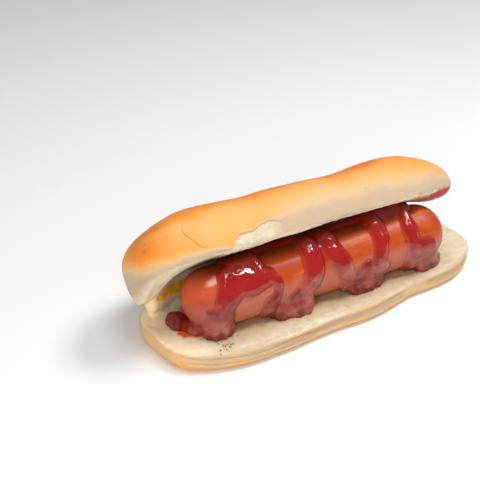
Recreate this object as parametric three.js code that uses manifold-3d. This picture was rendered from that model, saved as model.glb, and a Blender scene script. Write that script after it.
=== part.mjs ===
// A hot dog lying open: a hinged roll, a frankfurter resting in it and a zigzag of ketchup over both.
// Millimetres. X runs along the roll, -Y is the open front, +Y the hinged back, +Z up.
import * as THREE from "three";
import { ParametricGeometry } from "three/addons/geometries/ParametricGeometry.js";
import { mergeVertices } from "three/addons/utils/BufferGeometryUtils.js";
import Module from "manifold-3d";

// Driving dimensions

const GAP = 0.3; // air between one food and the next
const CUT_CLEARANCE = 0.35; // the ketchup stays this far off the crumb

const LOWER = {
  length: 155,
  width: 60.4,
  height: 8, // from the base to the cut face
  leftPower: 3.25, // how square the plan of each end is
  rightPower: 3.35,
};

const UPPER = {
  length: 156,
  width: 56,
  leftPower: 2.9,
  rightPower: 3.25,
  rise: 20.3, // thickness above its cut face at mid length
  riseSlope: -3.4, // gained at the right end, lost at the left
  domePower: 3.15, // flat sides turning over into a soft top
  centre: new THREE.Vector3(-3, 6.5, 26.8), // middle of its cut face
  dropToRight: 2.6, // the cut face sinks by this towards the right end
  tilt: 34.8, // degrees that the top is swung open about the hinge
  twist: -3.2, // degrees gained at the right end
};

// Swells and dips of the crust: place along the roll, height, reach
const DOME_WAVES = [
  [-55, 1.5, 13],
  [-27, -1.0, 13],
  [8, -0.4, 16],
  [50, 3.7, 18],
];
const FRONT_WAVES = [
  [-52, 0.7, 12],
  [-15, -0.7, 12],
  [6, 1.1, 9],
  [32, -1.6, 10],
  [58, 1.0, 10],
];
const BACK_WAVES = [
  [-40, -0.6, 16],
  [18, 0.7, 14],
  [50, -0.5, 12],
];

const SAUSAGE = {
  radius: 12.35,
  straight: 97.4, // length between the round ends
  endPower: 2.15, // slightly blunter than a ball
  centre: new THREE.Vector3(-3.8, -7.7, 19.25),
  yaw: -4.5, // degrees, right end towards the front
  waver: 0.12, // how much its radius varies
};

// The fold of crust and crumb that still joins the halves, along the back and round the left corner
const FOLD = {
  from: 0.1, // its ends, as parts of the way round the base from the right tip over the back
  to: 0.474,
  inset: 6, // from the outline of the base to the middle of the fold
  depth: 5, // half its depth across the roll
  grip: 1.6, // how far it reaches into each half
  taper: 0.13, // part of its length over which an end thins out
};

// Bread hanging below the cut plane of the top, at each end: place, depth, reach along and across,
// and whether the rim hangs with it
const SAGS = [
  { x: -74, y: 4, depth: 8, along: 10, across: 15, rim: 1 },
  { x: 61, y: -17, depth: 3.6, along: 13, across: 8, rim: 0 },
];

const RIM_HANG = 7; // height of the side wall that stretches where the rim hangs

// A flake of crust torn loose at the front lip of the top
const FLAKE = { from: -47, to: -27, height: 7, lift: 0.9 };

// Peeling layers on the front rim of the base, at its left end
const LAYERS = { from: -66, to: -14, depth: 0.55, spacing: 1.9 };

// Ketchup strokes over the frankfurter: place along it, degrees from its top towards the front, half width.
// Negative degrees lie behind, under the top of the roll.
const STROKES = {
  leftCoat: [[-37, -46, 5], [-37, -10, 7.5], [-37.6, 22, 8.8], [-37.6, 36, 9.2]],
  leftCoatFront: [[-43.5, 44, 6.4], [-30.5, 49, 4.4]],
  leftFall: [[-43.5, 40, 7.4], [-47, 60, 5.6], [-50, 78, 4.6], [-51.8, 96, 6], [-51.8, 142, 7.4]],
  leftDrip: [[-29, 46, 3.4], [-25.8, 68, 2.3], [-26.6, 88, 2.6], [-29.8, 101, 4.2], [-29.4, 124, 4.6]],
  secondBand: [[-7.5, -46, 4.2], [-7.5, 12, 4.8], [-8.2, 48, 5.2], [-9, 70, 4.6], [-12.5, 92, 5],
    [-17, 118, 6.4], [-19, 142, 6]],
  thirdBand: [[1, -46, 4.2], [1.2, 12, 5], [2.2, 48, 4.8], [4.4, 70, 4.8], [6, 92, 4], [8, 110, 4.4]],
  frontTurn: [[8, 118, 5.6], [16, 112, 8], [22.5, 104, 5.6]],
  fourthBand: [[25.5, -48, 4.3], [25.3, 10, 4.7], [24.6, 45, 4.2], [23, 70, 3.8], [22, 92, 3.8],
    [20.5, 118, 6]],
  backTurn: [[27, -6, 3.6], [39, -6, 3.6]],
  rightBand: [[40.6, -40, 3.8], [40.6, 10, 3.3], [39.8, 45, 4.2], [39.4, 66, 3.6], [41.5, 88, 5.6],
    [44.5, 106, 9], [45, 136, 8.4]],
  pressedUnderTop: [[-38, -22, 2.8], [22, -22, 2.8], [40, -20, 4]],
};
const STROKE_THICKNESS = 2.1; // crown of a stroke above the casing
const EDGE_SLOPE = 1.3; // how steeply a stroke's edge rises from the casing
const BARE = -1.4; // depth below the casing where no ketchup lies

// Feet of sauce in the corner between frankfurter and crumb: [x, y, z] and half sizes
const FEET = {
  leftBlob: [[-64.2, 3.9, 9.4], [3.8, 3.9, 3.1]],
  leftPuddle: [[-60.2, -3.4, 8.6], [3.6, 5.4, 1.9]],
  underCoat: [[-55.5, -12.2, 9.2], [6.6, 5.6, 4.2]],
  underDrip: [[-29, -15.2, 9.2], [4.8, 5.2, 4]],
  underSecondBand: [[-20.5, -16.8, 9.2], [7.4, 5.6, 4.2]],
  underFrontTurn: [[13, -18.2, 9], [10, 4.6, 4.2]],
  underRightBand: [[44.6, -19.8, 9.2], [7.8, 5.2, 4.4]],
};

// How finely each surface is divided
const AROUND_ROLL = 82;
const DOME_ROWS = 11;
const AROUND_SAUSAGE = 32;
const AROUND_SAUCE = 43;
const ALONG_SAUCE = 68;
const AROUND_FOLD = 12;
const ALONG_FOLD = 34;
const END_ROWS = 8; // rings of each round end of the frankfurter
const MIDDLE_ROWS = 6;
const AROUND_FOOT = 14;
const FOOT_ROWS = 8;

// Small helpers

const wasm = await Module();
wasm.setup();

const radians = THREE.MathUtils.degToRad;
const bump = (x, at, reach) => Math.exp(-(((x - at) / reach) ** 2));
const sumWaves = (waves, x) => waves.reduce((sum, [at, rise, reach]) => sum + rise * bump(x, at, reach), 0);
const signedPower = (value, power) => Math.sign(value) * Math.abs(value) ** power;

// The closed body of a geometry whose seams and poles meet
function solidOf(geometry) {
  const bare = geometry.clone();
  bare.deleteAttribute("normal");
  bare.deleteAttribute("uv");
  const merged = mergeVertices(bare, 1e-4);
  const triVerts = [];
  const corners = merged.index.array;
  for (let i = 0; i < corners.length; i += 3) {
    const [a, b, c] = [corners[i], corners[i + 1], corners[i + 2]];
    if (a !== b && b !== c && c !== a) triVerts.push(a, b, c);
  }
  const solid = new wasm.Manifold(
    new wasm.Mesh({
      numProp: 3,
      vertProperties: merged.attributes.position.array,
      triVerts: new Uint32Array(triVerts),
    }),
  );
  return solid.volume() < 0 ? turnedOut(merged, triVerts) : solid;
}

// The same body with every face turned round
function turnedOut(merged, triVerts) {
  const turned = new Uint32Array(triVerts);
  for (let i = 0; i < turned.length; i += 3) [turned[i + 1], turned[i + 2]] = [turned[i + 2], turned[i + 1]];
  return new wasm.Manifold(
    new wasm.Mesh({ numProp: 3, vertProperties: merged.attributes.position.array, triVerts: turned }),
  );
}

// A body as a geometry
function geometryOf(solid) {
  const mesh = solid.getMesh();
  const geometry = new THREE.BufferGeometry();
  geometry.setAttribute("position", new THREE.BufferAttribute(mesh.vertProperties, 3));
  geometry.setIndex(new THREE.BufferAttribute(mesh.triVerts, 1));
  return geometry;
}

// The roll's plan

class Plan extends THREE.Curve {
  constructor(half) {
    super();
    this.half = half;
    this.arcLengthDivisions = 3000;
  }

  getPoint(t, target = new THREE.Vector3()) {
    const angle = 2 * Math.PI * t;
    const power = Math.cos(angle) < 0 ? this.half.leftPower : this.half.rightPower;
    const x = (this.half.length / 2) * signedPower(Math.cos(angle), 2 / power);
    const y = (this.half.width / 2) * signedPower(Math.sin(angle), 2 / power);
    return target.set(x, y, 0);
  }

  // Points at even steps round the plan, each with its outward direction
  stations(count) {
    const points = this.getSpacedPoints(count);
    points[count].copy(points[0]);
    return points.map((point) => ({ point, outward: this.outward(point) }));
  }

  outward(point) {
    const power = point.x < 0 ? this.half.leftPower : this.half.rightPower;
    const x = signedPower((2 * point.x) / this.half.length, power - 1) / this.half.length;
    const y = signedPower((2 * point.y) / this.half.width, power - 1) / this.half.width;
    return new THREE.Vector3(x, y, 0).normalize();
  }
}

// Waves of the side wall, given as movement outwards. The top carries a share of them.
const TOP_SHARE = 0.6;

function sideSwell(x, outward) {
  const front = Math.max(0, -outward.y) ** 2;
  const back = Math.max(0, outward.y) ** 2;
  return front * sumWaves(FRONT_WAVES, x) + back * sumWaves(BACK_WAVES, x);
}

// The base of the roll

// Side wall from the underside up to the cut face: how far it lies in from the plan, height
const WALL = new THREE.SplineCurve([
  new THREE.Vector2(3.4, 0),
  new THREE.Vector2(1.3, 0.9),
  new THREE.Vector2(0.2, 2.8),
  new THREE.Vector2(0, 4.6),
  new THREE.Vector2(0.35, 6.3),
  new THREE.Vector2(1.0, 7.6),
  new THREE.Vector2(1.8, LOWER.height),
]);
const WALL_ROWS = 7;
const UNDERSIDE_INSET = WALL.points[0].x;
const RIM_INSET = WALL.points.at(-1).x;
const FLOOR_RINGS = [0.75, 0.4, 0]; // rings of the lower cut face, as parts of the plan
const ROOF_RINGS = [0, 0.25, 0.5, 0.66, 0.76, 0.84, 0.9, 0.95]; // and of the upper one
const BASE_RINGS = [0, 0.5];
const LIP = 0.06; // part of the plan over which the upper cut face falls away from its rim

// Steps of crust peeling off the front rim
function peel(x, z, outward) {
  const along = THREE.MathUtils.smoothstep(x, LAYERS.from, LAYERS.from + 12)
    * (1 - THREE.MathUtils.smoothstep(x, LAYERS.to - 14, LAYERS.to));
  const low = THREE.MathUtils.smoothstep(z, 1, 3) * (1 - THREE.MathUtils.smoothstep(z, 6.6, 7.6));
  const step = 0.5 + 0.5 * Math.sin((2 * Math.PI * (z + 0.03 * x)) / LAYERS.spacing);
  return -LAYERS.depth * along * low * step * Math.max(0, -outward.y);
}

// Gentle unevenness of the cut crumb
const CRUMB = { broad: 0.22, narrow: 0.15 };

function crumbRise(x, y) {
  const broad = Math.sin(x / 9.5 + 0.6) * Math.cos(y / 7.2);
  const narrow = Math.sin(x / 4.7 - y / 5.1);
  return CRUMB.broad * broad + CRUMB.narrow * narrow;
}

function lowerHalf() {
  const stations = new Plan(LOWER).stations(AROUND_ROLL);
  const rows = [
    ...BASE_RINGS.map((part) => ({ part, inset: UNDERSIDE_INSET * part, z: 0, face: 0 })),
    ...WALL.getPoints(WALL_ROWS).map((p) => ({ part: 1, inset: p.x, z: p.y, face: 0 })),
    ...FLOOR_RINGS.map((part) => ({ part, inset: RIM_INSET * part, z: LOWER.height, face: 1 })),
  ];
  const place = (u, v, target) => {
    const { point, outward } = stations[Math.round(u * AROUND_ROLL)];
    const row = rows[Math.round(v * (rows.length - 1))];
    const swell = sideSwell(point.x, outward) + peel(point.x, row.z, outward) * (1 - row.face);
    const move = row.part * swell - row.inset;
    const x = point.x * row.part + outward.x * move;
    const y = point.y * row.part + outward.y * move;
    target.set(x, y, row.z + row.face * crumbRise(x, y));
  };
  return solidOf(new ParametricGeometry(place, AROUND_ROLL, rows.length - 1));
}

// The top of the roll

// From the frame of the top, whose cut face is its floor, to the frame of the hot dog
function openTop(point, target) {
  const along = (2 * point.x) / UPPER.length;
  const angle = radians(UPPER.tilt + UPPER.twist * along);
  const y = point.y * Math.cos(angle) + point.z * Math.sin(angle);
  const z = point.z * Math.cos(angle) - point.y * Math.sin(angle) - UPPER.dropToRight * along;
  return target.set(point.x, y, z).add(UPPER.centre);
}

// A torn flake stands proud of the front wall just above the lip
function flakeLift(x, height, outward) {
  const middle = (FLAKE.from + FLAKE.to) / 2;
  const across = Math.abs(x - middle) / ((FLAKE.to - FLAKE.from) / 2);
  const within = FLAKE.height * (1 - across) - height;
  return outward.y < 0 ? FLAKE.lift * THREE.MathUtils.smoothstep(within, -0.4, 1) : 0;
}

// How far the bread hangs below the cut plane, where off is 0 at the rim and 1 on the crumb
function sag(x, y, off) {
  return SAGS.reduce((sum, each) => {
    const share = Math.max(off, each.rim);
    return sum + share * each.depth * bump(x, each.x, each.along) * bump(y, each.y, each.across);
  }, 0);
}

// Thickness of the top along the roll
function domeHeight(x) {
  return UPPER.rise + (UPPER.riseSlope * 2 * x) / UPPER.length + sumWaves(DOME_WAVES, x);
}

function upperHalf() {
  const stations = new Plan(UPPER).stations(AROUND_ROLL);
  const rowCount = ROOF_RINGS.length + DOME_ROWS;
  const local = new THREE.Vector3();
  const place = (u, v, target) => {
    const { point, outward } = stations[Math.round(u * AROUND_ROLL)];
    const row = Math.round(v * rowCount);
    if (row < ROOF_RINGS.length) {
      const part = ROOF_RINGS[row];
      local.set(point.x * part, point.y * part, 0);
      const off = Math.min(1, (1 - part) / LIP);
      local.z = -off * crumbRise(local.x, local.y) - sag(local.x, local.y, off);
    } else {
      const angle = ((row - ROOF_RINGS.length) / DOME_ROWS) * (Math.PI / 2);
      const spread = row === rowCount ? 0 : Math.cos(angle) ** (2 / UPPER.domePower);
      const height = domeHeight(point.x * spread) * Math.sin(angle) ** (2 / UPPER.domePower);
      const swell = flakeLift(point.x, height, outward) + TOP_SHARE * sideSwell(point.x, outward);
      const move = swell * spread ** 2;
      local.set(point.x * spread + outward.x * move, point.y * spread + outward.y * move, 0);
      local.z = height - Math.max(0, 1 - height / RIM_HANG) ** 2 * sag(point.x, point.y, 0);
    }
    openTop(local, target);
  };
  return solidOf(new ParametricGeometry(place, AROUND_ROLL, rowCount));
}

// Height of the cut face of the top over a place on the base
function topFace(x, y) {
  const along = (2 * (x - UPPER.centre.x)) / UPPER.length;
  const angle = radians(UPPER.tilt + UPPER.twist * along);
  return UPPER.centre.z - UPPER.dropToRight * along - (y - UPPER.centre.y) * Math.tan(angle);
}

// The fold that joins the two halves, as tall as the wedge between them where it runs
function hingeFold() {
  const plan = new Plan(LOWER);
  const place = (u, v, target) => {
    const at = plan.getPointAt(THREE.MathUtils.lerp(FOLD.from, FOLD.to, v));
    const outward = plan.outward(at);
    const toEnd = Math.min(1, Math.min(v, 1 - v) / FOLD.taper);
    const full = Math.sqrt(1 - (1 - toEnd) ** 2);
    const middle = at.addScaledVector(outward, -FOLD.inset);
    const low = LOWER.height - FOLD.grip;
    const high = topFace(middle.x, middle.y) + FOLD.grip;
    const angle = 2 * Math.PI * (u === 1 ? 0 : u);
    target.copy(middle).addScaledVector(outward, full * FOLD.depth * Math.cos(angle));
    target.z = (low + high) / 2 + (full * (high - low) * Math.sin(angle)) / 2;
  };
  return solidOf(new ParametricGeometry(place, AROUND_FOLD, ALONG_FOLD));
}

// The frankfurter

// Its outline from pole to pole, grown by a distance: radius against place along it
function sausageProfile(grow) {
  const radius = SAUSAGE.radius + grow;
  const points = [];
  for (let i = 0; i <= END_ROWS; i += 1) {
    const angle = ((i / END_ROWS) * Math.PI) / 2;
    const across = i === 0 ? 0 : radius * Math.sin(angle) ** (2 / SAUSAGE.endPower);
    const beyond = i === END_ROWS ? 0 : radius * Math.cos(angle) ** (2 / SAUSAGE.endPower);
    points.push(new THREE.Vector2(across, -SAUSAGE.straight / 2 - beyond));
  }
  for (let i = 1; i < MIDDLE_ROWS; i += 1) {
    const along = (i / MIDDLE_ROWS - 0.5) * SAUSAGE.straight;
    points.push(new THREE.Vector2(radius + SAUSAGE.waver * Math.sin(along / 7), along));
  }
  const rightEnd = points.slice(0, END_ROWS + 1).reverse();
  return [...points, ...rightEnd.map((p) => new THREE.Vector2(p.x, -p.y))];
}

// Turns a lathed body, whose axis is Y, to lie along the roll
function layDown(geometry) {
  geometry.rotateZ(-Math.PI / 2);
  geometry.rotateZ(radians(SAUSAGE.yaw));
  const { x, y, z } = SAUSAGE.centre;
  return geometry.translate(x, y, z);
}

function sausageBody(grow) {
  return solidOf(layDown(new THREE.LatheGeometry(sausageProfile(grow), AROUND_SAUSAGE)));
}

// The ketchup

// Distance from a place on the unrolled casing to a stroke, less the stroke's half width there
function beyondStroke(stroke, along, around) {
  let nearest = Infinity;
  for (let i = 1; i < stroke.length; i += 1) {
    const [s0, d0, w0] = stroke[i - 1];
    const [s1, d1, w1] = stroke[i];
    const a = new THREE.Vector2(s0, radians(d0) * SAUSAGE.radius);
    const b = new THREE.Vector2(s1, radians(d1) * SAUSAGE.radius);
    const step = b.clone().sub(a);
    const here = new THREE.Vector2(along, around).sub(a);
    const t = THREE.MathUtils.clamp(here.dot(step) / step.lengthSq(), 0, 1);
    const distance = here.distanceTo(step.multiplyScalar(t)) - THREE.MathUtils.lerp(w0, w1, t);
    nearest = Math.min(nearest, distance);
  }
  return nearest;
}

// Height of the sauce over the casing: a rounded crown inside a stroke, sunk below the casing outside
function sauceHeight(along, angle) {
  const around = angle * SAUSAGE.radius;
  const outside = Math.min(...Object.values(STROKES).map((stroke) => beyondStroke(stroke, along, around)));
  if (outside > 0) return Math.max(BARE, -EDGE_SLOPE * outside);
  return STROKE_THICKNESS * (1 - Math.exp((EDGE_SLOPE * outside) / STROKE_THICKNESS));
}

// The casing with the strokes standing on it
function sauceShell() {
  const reach = SAUSAGE.radius;
  const end = SAUSAGE.straight / 2;
  const meridian = Math.PI * reach + SAUSAGE.straight;
  const place = (u, v, target) => {
    const angle = 2 * Math.PI * ((u === 1 ? 0 : u) - 0.5);
    const run = v * meridian - meridian / 2;
    const bend = THREE.MathUtils.clamp((Math.abs(run) - end) / reach, 0, Math.PI / 2);
    const across = v === 0 || v === 1 ? 0 : Math.cos(bend);
    const beyond = Math.sin(bend);
    const along = Math.sign(run) * (Math.min(Math.abs(run), end) + reach * beyond);
    const height = across === 0 ? BARE : sauceHeight(along, angle);
    const radius = reach + height;
    const axial = Math.sign(run) * (Math.min(Math.abs(run), end) + radius * beyond);
    target.set(radius * across * Math.sin(angle), axial, radius * across * Math.cos(angle));
  };
  return solidOf(layDown(new ParametricGeometry(place, AROUND_SAUCE, ALONG_SAUCE)));
}

function foot([middle, halfSizes]) {
  const ball = new THREE.SphereGeometry(1, AROUND_FOOT, FOOT_ROWS);
  return solidOf(ball.scale(...halfSizes).translate(...middle));
}

function ketchupBody(lower, upper) {
  const angle = radians(UPPER.tilt);
  const towardSausage = [0, -CUT_CLEARANCE * Math.sin(angle), -CUT_CLEARANCE * Math.cos(angle)];
  const laid = Object.values(FEET).map(foot).reduce((sum, each) => sum.add(each), sauceShell());
  return laid
    .subtract(sausageBody(GAP))
    .subtract(lower.translate([0, 0, CUT_CLEARANCE]))
    .subtract(upper.translate(towardSausage));
}

// The largest piece, without scraps cut off by its neighbours
function mainPiece(solid) {
  const pieces = solid.decompose();
  return pieces.reduce((most, piece) => (piece.volume() > most.volume() ? piece : most));
}

// Materials

const crust = new THREE.MeshStandardMaterial({ color: 0xf0c48c, roughness: 0.75, metalness: 0 });
const casing = new THREE.MeshStandardMaterial({ color: 0xc2562f, roughness: 0.35, metalness: 0 });
const ketchupRed = new THREE.MeshStandardMaterial({ color: 0xab2824, roughness: 0.2, metalness: 0 });

// Assembly

function named(name, solid, material) {
  const mesh = new THREE.Mesh(geometryOf(solid), material);
  mesh.name = name;
  return mesh;
}

function hotDog() {
  const lower = lowerHalf();
  const upper = upperHalf();
  const bun = lower.add(upper).add(hingeFold()).subtract(sausageBody(GAP));
  const group = new THREE.Group();
  group.add(
    named("bun", mainPiece(bun), crust),
    named("sausage", sausageBody(0), casing),
    named("ketchup", mainPiece(ketchupBody(lower, upper)), ketchupRed),
  );
  return centred(group);
}

// Moves everything so that the middle of the underside of its outline is the origin
function centred(group) {
  const box = new THREE.Box3().setFromObject(group);
  const middle = box.getCenter(new THREE.Vector3());
  group.children.forEach((mesh) => mesh.geometry.translate(-middle.x, -middle.y, -box.min.z));
  return group;
}

export default hotDog();
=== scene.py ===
"""A hot dog lying open: a hinged roll, a frankfurter in it and ketchup over both."""

import math
import random

import bmesh
import bpy
import numpy as np
from mathutils import Euler, Matrix, Vector, noise


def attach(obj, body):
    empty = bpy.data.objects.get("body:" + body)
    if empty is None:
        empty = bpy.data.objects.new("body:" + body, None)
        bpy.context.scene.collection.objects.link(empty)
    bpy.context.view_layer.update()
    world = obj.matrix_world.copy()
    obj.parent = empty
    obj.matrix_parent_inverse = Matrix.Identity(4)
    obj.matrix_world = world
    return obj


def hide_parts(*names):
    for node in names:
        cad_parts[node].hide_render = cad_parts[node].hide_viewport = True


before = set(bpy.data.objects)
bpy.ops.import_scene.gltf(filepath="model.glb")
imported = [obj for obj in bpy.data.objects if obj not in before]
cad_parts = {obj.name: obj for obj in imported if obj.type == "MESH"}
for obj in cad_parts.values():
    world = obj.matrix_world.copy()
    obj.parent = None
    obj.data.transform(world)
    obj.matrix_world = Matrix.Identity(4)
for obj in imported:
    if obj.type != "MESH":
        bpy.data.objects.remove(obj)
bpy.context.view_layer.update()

# Driving dimensions, in millimetres and degrees, as the solids have them

MM = 0.001
MIDDLE = np.array([1.75, -1.846, 0.0])  # from the frame of these dimensions to the middle of the base

# The two halves, each seen from above as a rounded oblong
LOWER = {"length": 155.0, "width": 60.4, "height": 8.0, "left_power": 3.25, "right_power": 3.35}
UPPER = {"length": 156.0, "width": 56.0, "left_power": 2.9, "right_power": 3.25}
RISE = 20.3  # thickness of the top at mid length
RISE_SLOPE = -3.4  # added to it at the right end, and taken off at the left
DOME_POWER = 3.15  # how square the section of the top is
TOP_CENTRE = np.array([-3.0, 6.5, 26.8])  # middle of the cut face of the top
DROP_TO_RIGHT = 2.6  # from there to the right end
TILT = 34.8  # that the top is swung open, at mid length
TWIST = -3.2  # added to it at the right end

# Waves along the roll: place, rise and reach
DOME_WAVES = ((-55, 1.5, 13), (-27, -1.0, 13), (8, -0.4, 16), (50, 3.7, 18))
FRONT_WAVES = ((-52, 0.7, 12), (-15, -0.7, 12), (6, 1.1, 9), (32, -1.6, 10), (58, 1.0, 10))
BACK_WAVES = ((-40, -0.6, 16), (18, 0.7, 14), (50, -0.5, 12))
TOP_SHARE = 0.6  # of the waves of the base's sides, how much the top's sides take

# Side wall of the base: inset and height
WALL = ((3.4, 0), (1.3, 0.9), (0.2, 2.8), (0, 4.6), (0.15, 6.4), (0.4, 7.5), (0.9, 8.0))

SAUSAGE_RADIUS = 12.35
SAUSAGE_STRAIGHT = 97.4  # length between its round ends
SAUSAGE_END_POWER = 2.15  # how blunt those are: 2 is a ball
SAUSAGE_CENTRE = np.array([-3.8, -7.7, 19.25])
SAUSAGE_YAW = math.radians(-4.5)
SAUSAGE_WAVER = 0.12
SAUSAGE_AXIS = np.array([math.cos(SAUSAGE_YAW), math.sin(SAUSAGE_YAW), 0])
SAUSAGE_FRONT = np.array([math.sin(SAUSAGE_YAW), -math.cos(SAUSAGE_YAW), 0])

# The hinge: where it starts and stops round the plan of the base, and the size of its section
FOLD = {"start": 0.1, "stop": 0.474, "inset": 6.0, "depth": 5.0, "grip": 1.6, "taper": 0.13}

# Where the top hangs below its cut plane: place, depth, reaches, and whether the rim hangs too
SAGS = ((-74, 4, 8, 10, 15, 1), (61, -17, 3.6, 13, 8, 0))
RIM_HANG = 7.0  # height of the side wall that stretches where the rim hangs
FLAKE = {"start": -47, "stop": -27, "height": 7.0, "lift": 0.9}  # crust that stands off above the front rim

# Ketchup strokes: place along the frankfurter, degrees from its top towards the front, half width
STROKES = {
    "left_coat": ((-37, -46, 5), (-37, -10, 7.5), (-37.6, 22, 8.8), (-37.6, 36, 9.2)),
    "left_coat_front": ((-43.5, 44, 6.4), (-30.5, 49, 4.4)),
    "left_fall": ((-43.5, 40, 7.4), (-47, 60, 5.6), (-50, 78, 4.6), (-51.8, 96, 6), (-51.8, 142, 7.4)),
    "left_drip": ((-29, 46, 3.4), (-25.8, 68, 2.3), (-26.6, 88, 2.6), (-29.8, 101, 4.2), (-29.4, 124, 4.6)),
    "second_band": ((-7.5, -46, 4.2), (-7.5, 12, 4.8), (-8.2, 48, 5.2), (-9, 70, 4.6), (-12.5, 92, 5),
                    (-17, 118, 6.4), (-19, 142, 6)),
    "third_band": ((1, -46, 4.2), (1.2, 12, 5), (2.2, 48, 4.8), (4.4, 70, 4.8), (6, 92, 4), (8, 110, 4.4)),
    "front_turn": ((8, 118, 5.6), (16, 112, 8), (22.5, 104, 5.6)),
    "fourth_band": ((25.5, -48, 4.3), (25.3, 10, 4.7), (24.6, 45, 4.2), (23, 70, 3.8), (22, 92, 3.8),
                    (20.5, 118, 6)),
    "back_turn": ((27, -6, 3.6), (39, -6, 3.6)),
    "right_band": ((41.6, -40, 4.6), (41.6, -8, 4.4), (40.6, 14, 3.3), (39.8, 45, 4.2), (39.4, 66, 3.6),
                   (41.5, 88, 5.6), (44.5, 106, 9), (45, 136, 8.4)),
    "pressed_under_top": ((-38, -22, 2.8), (22, -22, 2.8), (43, -16, 5)),
}
STROKE_THICKNESS = 2.1
EDGE_SLOPE = 1.3
BARE = -1.4  # height of the sauce's sheet where no stroke runs: under the frankfurter's skin

# Feet of sauce between frankfurter and crumb: middle and half sizes
FEET = {
    "left_blob": ((-65.2, 2.0, 9.4), (4.8, 4.6, 3.9)),
    "left_puddle": ((-61.4, -4.6, 8.8), (4.2, 5.8, 3.2)),
    "under_coat": ((-55.6, -12.6, 10.4), (6.8, 5.0, 6.4)),
    "under_drip": ((-29, -15.6, 9.6), (4.4, 4.8, 4.8)),
    "under_second_band": ((-20.5, -17.2, 10.4), (7.6, 4.9, 6.4)),
    "under_front_turn": ((13, -18.6, 10), (10, 4.3, 5.8)),
    "under_right_band": ((44.6, -20, 10.4), (8.2, 4.8, 6.4)),
}

# Fine forms that the solids leave out

GROOVE = {"height": 5.6, "depth": 0.6, "reach": 1.1}  # crease along the side wall of the base
LAYERS = {"start": -78, "stop": -30, "fade": 16, "depth": 0.75, "spacing": 2.3}  # that peel off that wall

# Torn crust and a crack on the front of the top: place along it and height
FLAP = ((-47, 0.0), (-44.2, 3.4), (-42.6, 4.8), (-37.5, 4.6), (-32.6, 6.2), (-28.6, 6.8), (-24, 5.4))
FLAP_STEP = 0.55
CRACK = ((-61.5, 13), (-61, 10), (-59.5, 8), (-57.7, 4.7), (-55.7, 3.6))
CRACK_WIDTH = 0.55
CRACK_DEPTH = 0.45
# Pits there: place along, height and size
PITS = ((-74.5, 10, 0.7), (-73, 12.5, 0.5), (57, 6.5, 0.5), (60, 7.2, 0.6), (62.5, 6.8, 0.45), (20, 9, 0.4))

CLEARANCE = 0.12  # between the frankfurter and what is pressed against it
SHELL_DEPTH = 0.25  # that the ketchup reaches into the frankfurter, unseen, so that no gap shows
TRIM_HEIGHT = 7.3  # at which the ketchup's feet end, in the crumb
FEATHER = 0.3  # slope at which a stroke's thin edge runs out
# Ketchup squeezed out below the lip of the top, at degrees round the frankfurter
BEAD = {"at": 14, "reach": 13, "rise": 1.0}
PLUG = {"along": 36, "length": 18, "at": -9, "reach": 15, "rise": 2.8}
# Fallen crumbs: range of their sizes, and middle and spread of their places
CRUMBS = {"count": 18, "radius": (0.22, 0.45), "x": (-58.5, 3.2), "y": (-20, 2.4), "z": 8.0, "seed": 5}

# How fine the meshes are: points round and up the sheets that they start from, size of the faces
# once these are joined, and cuts of the edges where detail is finer
SHEETS = {
    "base": (260, 64),
    "top": (260, 90),
    "hinge": (40, 160),
    "frankfurter": (128, 160),
    "sauce": (260, 380),
    "foot": (36, 20),
}
ROLL_VOXEL = 0.82
SAUCE_VOXEL = 0.52
RIM_CUTS = 2
TORN_CUTS = 3
SHARP_EDGE = 40  # degrees

# Where the colours lie

CUT_DEPTH = 1.2  # bread no further than this below the cut plane belongs to the top
FRONT_SIDE = -10  # measured across the top: its front side lies before this

# Along the top: height at which its pale side wall ends, and height over which the crust then turns golden
PALE_EDGE = (
    (-80, 0.4), (-70, 1.0), (-63, 1.6), (-57, 2.0), (-50, 1.2), (-46, 0.6), (-44, 1.5), (-42, 5.2),
    (-37, 4.9), (-33, 6.8), (-29, 7.0), (-20, 6.0), (0, 6.0), (28, 6.0), (44, 4.5), (58, 3.2), (78, 3.0),
)
GOLD_BLEND = ((-74, 6.5), (-60, 3.0), (-44, 0.9), (-28, 1.2), (-5, 11.0), (40, 11.0), (60, 8.0))
# Yellow strip in the fold: place along and height of its ends, and half its height there
YELLOW_FOLD_STRIP = {"start": (-72, 18.2), "stop": (-54, 14.6), "half": (0.9, 2.6)}

# Soft spots: middle, reach and strength
BROWNED = (
    ((-73, -6, 10), (6.5, 12, 7), 0.42),
    ((36, -18, 13), (24, 10, 5), 0.14),
    ((-12, -22, 14), (20, 8, 4), 0.084),
)
STAINS = (((-66.5, -4.8, 8), (3.4, 4.4, 3), 1), ((-62, -10.5, 8), (3.6, 3.4, 3), 0.7))
# Pools of sauce painted darker red: partly where the sauce lies thick, partly painted shade
POOLS = (
    ((-30, -17, 9), (5.5, 5, 3.5), 1),
    ((47, -21, 9.5), (8, 6, 4), 0.6),
    ((16, -22, 10), (3.5, 4, 6), 0.7),
)
BLOB_LUMPS = (((-65, 1.5, 10), (6, 6, 6), 0.9),)
# The left blob, painted darker red the same way
DARK_BLOB = (((-65.5, 2.5, 10.5), (5.5, 6, 5), 1),)
# Painted highlight: a soft pale patch on the frankfurter's left cap, where a lamp's highlight would lie
CAP_HIGHLIGHT_SPOTS = (((-55.4, -9.2, 29.7), (3.9, 1.7, 1.7), 1),)

# Small helpers


def smoothstep(value, low, high):
    """0 below the low value, 1 above the high one, and smooth between them."""
    t = np.clip((value - low) / (high - low), 0, 1)
    return t * t * (3 - 2 * t)


def fade(value, low, high):
    """1 below the low value, 0 above the high one, and smooth between them."""
    return 1 - smoothstep(value, low, high)


def hump(value, reach):
    """1 at 0, falling off softly on both sides."""
    return np.exp(-((value / reach) ** 2))


def swell(x, waves):
    return sum(rise * hump(x - at, reach) for at, rise, reach in waves)


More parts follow.
